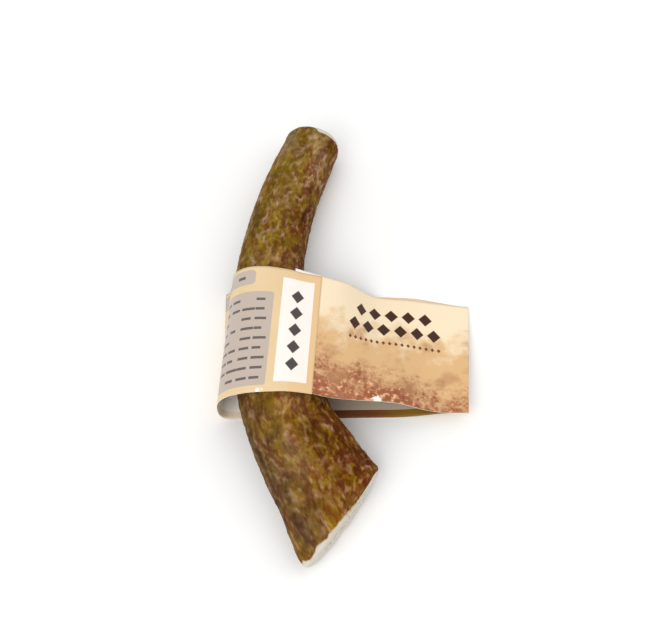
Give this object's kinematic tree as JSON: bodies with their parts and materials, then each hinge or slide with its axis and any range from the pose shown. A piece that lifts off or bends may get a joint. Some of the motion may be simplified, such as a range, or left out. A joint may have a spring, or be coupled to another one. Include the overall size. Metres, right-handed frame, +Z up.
{
  "type": "deer antler",
  "caption": "Sawn length of deer antler lying flat, flared at its slanted end, with a loose printed paper band glued round its middle.",
  "frame": {"origin": "bottom centre of the object's box, on the surface it lies on", "axes": "+Z up, +Y along the antler towards its thin sawn end, +X towards the paper band's flap"},
  "size_m": [0.1008, 0.1878, 0.0294],
  "materials": {
    "antler_bone": "matt to satin natural antler: olive brown skin with fine pale streaks along its length, bone white where it is sawn",
    "coated_paper": "glossy coated paper printed in cream, tan and rust, off-white inside"
  },
  "bodies": {
    "root": {"antler": "antler_bone", "paper_band": "coated_paper"}
  },
  "joints": []
}
